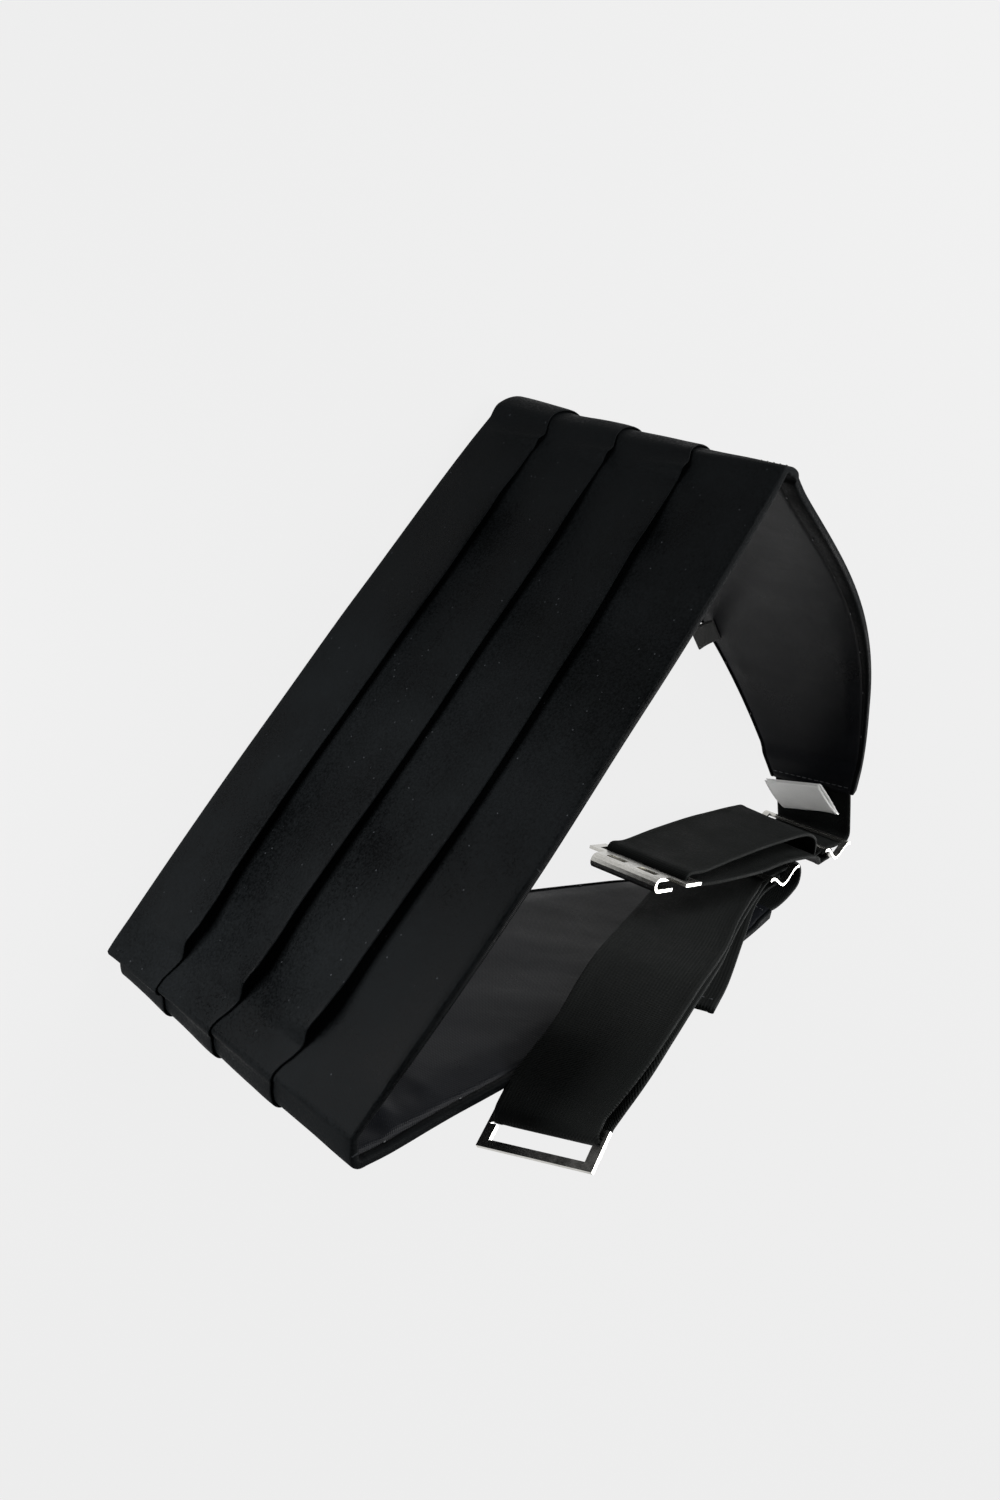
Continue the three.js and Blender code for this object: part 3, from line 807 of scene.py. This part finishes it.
# Half of the elastic's section, from its middle line over the corded selvedge and back.
def strap_half():
    half = STRAP_WIDTH / 2
    face = STRAP / 2
    top = [(0.0, face), (half * 0.3, face), (half * 0.62, face), (half - 2.3, face - 0.05)]
    top += [(half - 1.9, face + SELVEDGE_CORD), (half - 0.7, face + SELVEDGE_CORD)]
    top += [(half - 0.15, 0.62), (half, 0.3)]
    return top + [(a, -f) for a, f in reversed(top)]


# Woven elastic: two faces, corded selvedges, and edges that wave a little where it is slack.
def strap_piece(name, line, hem=0.0):
    half = STRAP_WIDTH / 2
    right = strap_half()
    section = right + [(-a, f) for a, f in reversed(right[1:-1])]
    total = line[-1]["run"]
    rings = []
    across = []
    for s in line:
        thicker = 1 + 0.5 * (1 - smooth(total - s["run"], hem, hem + 1.0)) if hem else 1.0
        fall = 0.16 * ripple(s["run"] / 14, 0.0, 6)
        ring = []
        for a, f in section:
            wave = fall * (a / half) ** 3
            ring.append(s["place"] + s["across"] * a + s["face"] * (f * thicker + wave))
        rings.append(ring)
        across.append([a for a, f in section])
    return sweep(name, rings, [s["run"] for s in line], across)


STITCH_RADIUS = 0.2
STITCH_ARCH = 0.12
HEM_HALF = 17.3


# Rows of stitches: short round threads, each dipping into the cloth at its ends.
def stitch_rows(name, rows, length=2.3, gap=0.9):
    points = []
    faces = []
    sides = 6
    rounds = ((0.0, 0.35), (0.2, 1.0), (0.8, 1.0), (1.0, 0.35))
    for row in rows:
        run = 0.0
        for (a, na), (b, nb) in zip(row[:-1], row[1:]):
            span = np.linalg.norm(b - a)
            along = (b - a) / max(span, 1e-6)
            while run + length <= span:
                normal = unit(mix(na, nb, run / span))
                side = np.cross(along, normal)
                base = len(points)
                for t, fat in rounds:
                    centre = a + along * (run + length * t)
                    centre = centre + normal * STITCH_ARCH * math.sin(math.pi * t)
                    reach = STITCH_RADIUS * fat
                    for k in range(sides):
                        turn = 2 * math.pi * k / sides
                        offset = side * reach * math.cos(turn) + normal * reach * math.sin(turn)
                        points.append(centre + offset)
                for r in range(len(rounds) - 1):
                    for k in range(sides):
                        m = (k + 1) % sides
                        one, two = base + r * sides, base + (r + 1) * sides
                        faces.append((one + k, one + m, two + m, two + k))
                faces.append(tuple(base + k for k in reversed(range(sides))))
                top = base + (len(rounds) - 1) * sides
                faces.append(tuple(top + k for k in range(sides)))
                run += length + gap
            run = max(run - span, 0.0)
    made = mesh_object(name, [tuple(p) for p in points], faces)
    turn_outwards(made)
    return made


def row_across(s, half, face_side):
    lift = (STRAP / 2 + 0.05) * face_side
    normal = s["face"] * face_side
    return [(s["place"] + s["across"] * a + s["face"] * lift, normal) for a in (-half, half)]


def line_at(line, run):
    return min(line, key=lambda s: abs(s["run"] - run))


# One face of a label's leaf, beside the path by each point's own shift and one for all.
def leaf_line(leaf, beside):
    return [(u + s[0] * (shift + beside), h + s[1] * (shift + beside)) for u, h, s, shift in leaf]


# A folded tape label, sewn at one end. It bends between the given angles from its seam to its
# fold, its two leaves part a little, and its free end waves.
def label_piece(name, place, length, width, spread, thick, bend, wave, seed, aside=0.0):
    steps = 14
    path = []
    u = h = 0.0
    for i in range(steps + 1):
        angle = math.radians(mix(bend[0], bend[1], i / steps))
        path.append((u, h, angle))
        u += math.cos(angle) * length / steps
        h += math.sin(angle) * length / steps
    rows = 22
    rings = []
    across = []
    at = []
    for j in range(rows + 1):
        v = mix(-width / 2, width / 2, j / rows)
        near = []
        far = []
        for i, (u, h, angle) in enumerate(path):
            t = i / steps
            opening = math.sin(math.pi * min(1.0, 0.15 + 0.85 * t)) ** 0.6
            apart = thick + (spread - 2 * thick) * opening
            lift = wave * t * t * ripple(v / 6.5, t * 2, seed)
            slide = 0.6 * wave * t * ripple(v / 8, 1.0, seed + 1)
            side = (-math.sin(angle), math.cos(angle))
            for leaf, shift in ((near, lift), (far, lift + thick + apart)):
                leaf.append((u + slide * math.cos(angle), h, side, shift))
        fold_u, fold_h = leaf_line(far[-1:], -thick)[0]
        outline = leaf_line(near, 0) + [(fold_u + 0.5 * thick, fold_h)]
        outline += leaf_line(far[::-1], 0) + leaf_line(far[:-1], -thick)
        outline += leaf_line(near[-2::-1], thick)
        rings.append([spot(place, u, h, v + aside * u / length) for u, h in outline])
        across.append([math.hypot(u, h) for u, h in outline])
        at.append(v)
    return sweep(name, rings, at, across)


# The care label hangs askew below the middle of the hook-side wing's end.
CARE_LENGTH = 15
CARE_WIDTH = 28
CARE_TURN = math.radians(10.5)
CARE_LOWER = 8.5

# The side label, and where it is sewn: so far from the panel's middle, so far above the edge.
SIDE_LABEL_LENGTH = 11
SIDE_LABEL_WIDTH = 13
SIDE_LABEL_AT = 268
SIDE_LABEL_SEAM = 8.5


def care_label_place():
    end = walk(HOOK_SIDE)[-1]
    inside = -(GAP + tongue_step(HOOK_END) + LINING + 0.7)
    along = end["along"] * math.cos(CARE_TURN) + end["up"] * math.sin(CARE_TURN)
    up = end["up"] * math.cos(CARE_TURN) - end["along"] * math.sin(CARE_TURN)
    origin = end["point"] + end["out"] * inside - end["along"] * 0.5 - end["up"] * CARE_LOWER
    return {"origin": origin, "u": along, "v": up, "h": -end["out"]}


# The side label hangs from a seam just inside the wing's lower edge and bends to the floor.
def side_label_place():
    near = min(walk(HOOK_SIDE), key=lambda s: abs(s["distance"] - SIDE_LABEL_AT))
    above = SIDE_LABEL_SEAM - cloth_height(-near["distance"]) / 2
    origin = near["point"] - near["out"] * (GAP + LINING + 0.8) + near["up"] * above
    return {"origin": origin, "u": -near["up"], "v": near["along"], "h": -near["out"]}


# Gives a node's sockets numbers, colours or links.
def feed(tree, node, inputs):
    for label, value in inputs.items():
        if isinstance(value, bpy.types.NodeSocket):
            tree.links.new(value, node.inputs[label])
        else:
            node.inputs[label].default_value = value


def add_node(tree, kind, inputs, operation=None):
    node = tree.nodes.new("ShaderNode" + kind)
    if operation:
        node.operation = operation
    feed(tree, node, inputs)
    return node.outputs


def maths(tree, operation, *values):
    return add_node(tree, "Math", dict(enumerate(values)), operation)[0]


def noise(tree, place, scale, detail, distortion=0.0):
    inputs = {"Vector": place, "Scale": scale, "Detail": detail, "Distortion": distortion}
    return add_node(tree, "TexNoise", inputs)[0]


# Shader groups, shared by the fabrics: woven threads, pressed creases, stray lint, and slow
# unevenness of tone. An input without a number is a place on the cloth.
def group_with(name, output, inputs):
    group = bpy.data.node_groups.new(name, "ShaderNodeTree")
    for label, value in inputs.items():
        kind = "NodeSocketVector" if value is None else "NodeSocketFloat"
        socket = group.interface.new_socket(label, in_out="INPUT", socket_type=kind)
        if value is not None:
            socket.default_value = value
    group.interface.new_socket(output, in_out="OUTPUT", socket_type="NodeSocketFloat")
    given = group.nodes.new("NodeGroupInput").outputs
    end = group.nodes.new("NodeGroupOutput")
    return group, given, end


SLUBS = 0.4


def weave_group():
    group, given, end = group_with("woven_threads", "Height", {"Cloth": None, "Threads": 1500.0})
    split = add_node(group, "SeparateXYZ", {0: given["Cloth"]})
    warp = maths(group, "SINE", maths(group, "MULTIPLY", split[1], given["Threads"]))
    both = maths(group, "ADD", split[0], split[1])
    weft = maths(group, "SINE", maths(group, "MULTIPLY", both, given["Threads"]))
    warp = maths(group, "MULTIPLY", warp, 0.4)
    weft = maths(group, "MULTIPLY", weft, 0.6)
    slub = maths(group, "MULTIPLY", noise(group, given["Cloth"], 900, 2), SLUBS)
    threads = maths(group, "ADD", warp, weft)
    feed(group, end, {"Height": maths(group, "ADD", threads, slub)})
    return group


def crease_group():
    group, given, end = group_with("pressed_creases", "Height", {"Cloth": None, "Amount": 1.0})
    soft = noise(group, given["Cloth"], 75, 3, 0.7)
    feed(group, end, {"Height": maths(group, "MULTIPLY", soft, given["Amount"])})
    return group


def lint_group():
    group, given, end = group_with("stray_lint", "Mask", {"Cloth": None, "Amount": 0.5})
    cells = add_node(group, "TexVoronoi", {"Vector": given["Cloth"], "Scale": 420})
    reach = {"Value": cells["Distance"], "From Min": 0.13, "From Max": 0.05}
    dots = add_node(group, "MapRange", reach)[0]
    pick = add_node(group, "SeparateColor", {0: cells["Color"]})[0]
    mask = maths(group, "MULTIPLY", dots, maths(group, "GREATER_THAN", pick, 0.84))
    feed(group, end, {"Mask": maths(group, "MULTIPLY", mask, given["Amount"])})
    return group


def tone_group():
    group, given, end = group_with("uneven_tone", "Tone", {"Low": 0.9, "High": 1.1, "Scale": 30.0})
    place = add_node(group, "TexCoord", {})["Object"]
    clouds = maths(group, "MULTIPLY", noise(group, place, given["Scale"], 3), 0.55)
    fine = maths(group, "MULTIPLY", noise(group, place, 1300, 2), 0.45)
    tone = add_node(group, "MapRange", {
        "Value": maths(group, "ADD", clouds, fine),
        "From Min": 0.34,
        "From Max": 0.66,
        "To Min": given["Low"],
        "To Max": given["High"],
    })
    feed(group, end, {"Tone": tone[0]})
    return group


WEAVE = weave_group()
CREASES = crease_group()
LINT = lint_group()
TONE = tone_group()
LINT_COLOUR = (0.075, 0.08, 0.088, 1)
SHEEN_COLOUR = (0.75, 0.8, 0.9, 1)
BUMP_HEIGHT = 0.0002


def use_group(tree, group, **inputs):
    node = tree.nodes.new("ShaderNodeGroup")
    node.node_tree = group
    feed(tree, node, inputs)
    return node.outputs[0]


def toned(tree, colour, shade):
    return add_node(tree, "VectorMath", {0: colour, "Scale": shade}, "SCALE")[0]


def raised(tree, height, strength):
    inputs = {"Height": height, "Strength": strength, "Distance": BUMP_HEIGHT}
    return add_node(tree, "Bump", inputs)[0]


def new_material(name):
    material = bpy.data.materials.new(name)
    material.use_nodes = True
    tree = material.node_tree
    return material, tree, tree.nodes["Principled BSDF"]


# A cloth finish: base colour with slow tone and lint, threads and creases as bump, and a
# roughness that goes with the tone. The tone is given as its least, its most and its scale.
def cloth_material(
    name, colour, tone, roughness, threads, bump, lint, sheen=0.0, specular=0.5, creases=1.0
):
    material, tree, shader = new_material(name)
    cloth = tree.nodes.new("ShaderNodeUVMap")
    cloth.uv_map = "cloth"
    place = cloth.outputs[0]
    weave = use_group(tree, WEAVE, Cloth=place, Threads=threads)
    pressed = use_group(tree, CREASES, Cloth=place, Amount=creases)
    stray = use_group(tree, LINT, Cloth=place, Amount=lint)
    shade = use_group(tree, TONE, Low=tone[0], High=tone[1], Scale=tone[2])
    linted = tree.nodes.new("ShaderNodeMix")
    linted.data_type = "RGBA"
    feed(tree, linted, {"Factor": stray, "A": toned(tree, colour, shade), "B": LINT_COLOUR})
    feed(tree, shader, {
        "Base Color": linted.outputs["Result"],
        "Roughness": maths(tree, "MULTIPLY", shade, roughness),
        "Normal": raised(tree, maths(tree, "ADD", weave, pressed), bump),
        "Specular IOR Level": specular,
        "Sheen Weight": sheen,
        "Sheen Roughness": 0.4,
        "Sheen Tint": SHEEN_COLOUR,
    })
    return material


# Plated metal: clean reflections broken by faint handling marks and a slightly uneven plate.
def metal_material(name, colour, roughness):
    material, tree, shader = new_material(name)
    shade = use_group(tree, TONE, Low=0.8, High=1.12, Scale=160.0)
    marks = noise(tree, add_node(tree, "TexCoord", {})["Object"], 420, 4)
    spread = {"Value": marks, "To Min": roughness * 0.7, "To Max": roughness * 1.5}
    feed(tree, shader, {
        "Base Color": toned(tree, colour, shade),
        "Roughness": add_node(tree, "MapRange", spread)[0],
        "Normal": raised(tree, marks, 0.08),
        "Metallic": 1.0,
    })
    return material


SATIN = cloth_material(
    "black_satin", (0.0020, 0.0023, 0.0025), (0.35, 1.75, 26.0),
    roughness=0.42, threads=14000.0, bump=0.22, lint=0.26, specular=0.012, creases=6.0)
LINING_CLOTH = cloth_material(
    "blue_grey_lining", (0.0040, 0.0044, 0.0054), (0.8, 1.25, 40.0),
    roughness=0.33, threads=9000.0, bump=0.2, lint=0.2, specular=0.045, creases=5.0)
ELASTIC = cloth_material(
    "woven_elastic", (0.0034, 0.0039, 0.0037), (0.8, 1.25, 45.0),
    roughness=0.72, threads=5600.0, bump=0.5, lint=0.10, specular=0.05)
WHITE_TAPE = cloth_material(
    "white_tape", (0.62, 0.62, 0.61), (0.96, 1.03, 60.0),
    roughness=0.6, threads=9000.0, bump=0.25, lint=0.0, sheen=0.1)
DARK_TAPE = cloth_material(
    "dark_tape", (0.010, 0.010, 0.009), (0.9, 1.1, 60.0),
    roughness=0.55, threads=9000.0, bump=0.25, lint=0.2, sheen=0.05)
BLACK_THREAD = cloth_material(
    "black_thread", (0.012, 0.0125, 0.014), (0.9, 1.1, 90.0),
    roughness=0.5, threads=12000.0, bump=0.2, lint=0.0, sheen=0.2)
PALE_THREAD = cloth_material(
    "pale_thread", (0.2, 0.2, 0.19), (0.9, 1.1, 90.0),
    roughness=0.5, threads=12000.0, bump=0.2, lint=0.0, sheen=0.1)
PLATED = metal_material("bright_plate", (0.6, 0.59, 0.555), 0.2)


def wear(piece, material):
    piece.data.materials.clear()
    piece.data.materials.append(material)


def finish_piece(piece, material, slot, body, *nodes):
    wear(piece, material)
    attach(piece, body)
    if nodes:
        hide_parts(*nodes)


satin = cloth_piece("satin_sash", satin_section)
finish_piece(satin, SATIN, "satin", "belt", "pleated_front")
lining = cloth_piece("inner_lining", lining_section)
finish_piece(lining, LINING_CLOTH, "lining_cloth", "belt", "lining")
hook_line = strap_line(HOOK_ROUTE)
ring_line = strap_line(RING_ROUTE)
hook_elastic = strap_piece("hook_elastic", hook_line)
finish_piece(hook_elastic, ELASTIC, "elastic", "belt", "hook_strap")
ring_elastic = strap_piece("ring_elastic", ring_line, HEM)
finish_piece(ring_elastic, ELASTIC, "elastic", "belt", "ring_strap")
care = label_piece(
    "blank_care_label", care_label_place(), CARE_LENGTH, CARE_WIDTH,
    spread=2.6, thick=0.3, bend=(4, 12), wave=1.2, seed=3, aside=7.0)
finish_piece(care, WHITE_TAPE, "white_tape", "belt", "care_label")
tab = label_piece(
    "bare_side_label", side_label_place(), SIDE_LABEL_LENGTH, SIDE_LABEL_WIDTH,
    spread=1.2, thick=0.3, bend=(30, 78), wave=0.3, seed=5)
finish_piece(tab, DARK_TAPE, "dark_tape", "belt", "side_label")

hem_at = line_at(ring_line, ring_line[-1]["run"] - HEM_ROW)
hem_rows = [row_across(hem_at, HEM_HALF, face_side) for face_side in (1, -1)]
strap_stitches = stitch_rows("strap_stitches", hem_rows)
finish_piece(strap_stitches, BLACK_THREAD, "elastic", "belt")

fell_rows = []
end_rows = []
for side in (HOOK_SIDE, RING_SIDE):
    long_rows, close_row = wing_rows(side)
    fell_rows += long_rows
    end_rows.append(close_row)
fell_stitches = stitch_rows("fell_stitches", fell_rows, length=1.3, gap=30)
finish_piece(fell_stitches, BLACK_THREAD, "lining_cloth", "belt")
end_stitches = stitch_rows("wing_end_stitches", end_rows, length=2.0, gap=0.9)
finish_piece(end_stitches, BLACK_THREAD, "lining_cloth", "belt")

# A few pale tack stitches, left at the panel's upper corner by the hook's fold.
tack_at = -PANEL_LENGTH / 2 - 3.5
tack_top = cloth_height(tack_at) / 2
tack_out = PLY + PRESSED_FLAP + 0.05
tack_ends = [(tack_at, tack_top - 11, tack_out), (tack_at - 1, tack_top - 1.2, tack_out)]
tack_row = cloth_row(tack_ends, True)
tack_stitches = stitch_rows("corner_tack", [tack_row], length=0.8, gap=1.3)
finish_piece(tack_stitches, PALE_THREAD, "satin", "belt")


SOFT_EDGE = 0.4


# Metal pieces keep the frame's shape and get softened edges.
def soften(node):
    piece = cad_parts[node]
    wear(piece, PLATED)
    bevel = piece.modifiers.new("softened_edges", "BEVEL")
    bevel.width = SOFT_EDGE * MM
    bevel.segments = 2
    bevel.limit_method = "ANGLE"
    bevel.angle_limit = math.radians(35)


for node in ("hook", "ring", "hook_slider", "ring_slider"):
    soften(node)


# A cloth's flat area in square metres, from its size across at each place along the sash.
def flat_area(across_of):
    cuts = fine_distances()
    area = 0.0
    for a, b in zip(cuts[:-1], cuts[1:]):
        area += (b - a) * (across_of(a) + across_of(b)) / 2
    return area * MM * MM


# Each pleat takes up twice its depth.
TAKEN_UP = 2 * len(PLEAT_EDGES)
flat_area(lambda d: cloth_height(d) + TAKEN_UP * pleat_depth(d))
flat_area(lambda d: cloth_height(d) - sum(facings(d)))

# The floor, the light and the camera.
FLOOR = 4.0
FLOOR_GLOW = 0.83
WORLD_GLOW = 0.22
floor_mesh = bpy.data.meshes.new("floor")
floor_corners = [(-FLOOR, -FLOOR, 0), (FLOOR, -FLOOR, 0), (FLOOR, FLOOR, 0), (-FLOOR, FLOOR, 0)]
floor_mesh.from_pydata(floor_corners, [], [(0, 1, 2, 3)])
floor = add_object("floor", floor_mesh)
floor_material, floor_tree, floor_shader = new_material("pale_floor")
feed(floor_tree, floor_shader, {
    "Base Color": (0.012, 0.012, 0.012, 1),
    "Roughness": 1.0,
    "Specular IOR Level": 0.0,
    "Emission Color": (1, 1, 1, 1),
    "Emission Strength": FLOOR_GLOW,
})
floor_mesh.materials.append(floor_material)

world = bpy.data.worlds.new("studio")
bpy.context.scene.world = world
world.use_nodes = True
background = world.node_tree.nodes["Background"]
feed(world.node_tree, background, {"Color": (1, 1, 1, 1), "Strength": WORLD_GLOW})


def soft_light(name, place, target, size, power):
    lamp = bpy.data.lights.new(name, "AREA")
    lamp.shape = "SQUARE"
    lamp.size = size
    lamp.energy = power
    made = add_object(name, lamp)
    made.location = place
    aim = Vector(target) - Vector(place)
    made.rotation_euler = aim.to_track_quat("-Z", "Y").to_euler()


soft_light("front_light", (0.15, -0.33, 0.05), (0.09, -0.12, 0.03), 0.16, 2.4)
soft_light("top_light", (-0.22, -0.02, 0.85), (0.03, 0.03, 0.05), 0.4, 7)
soft_light("side_light", (-0.5, -0.05, 0.32), (-0.08, -0.05, 0.07), 0.4, 5)
soft_light("back_light", (-0.3, 0.8, 0.5), (0.0, 0.05, 0.05), 0.5, 9)
bpy.context.scene.view_settings.view_transform = "Standard"

camera_data = bpy.data.cameras.new("camera")
camera_data.lens = CAMERA_LENS
camera_data.sensor_width = CAMERA_SENSOR
camera_data.clip_start = 0.01
camera = add_object("camera", camera_data)
camera.location = CAMERA_PLACE
camera.rotation_euler = [math.radians(a) for a in CAMERA_TURN]
bpy.context.scene.camera = camera
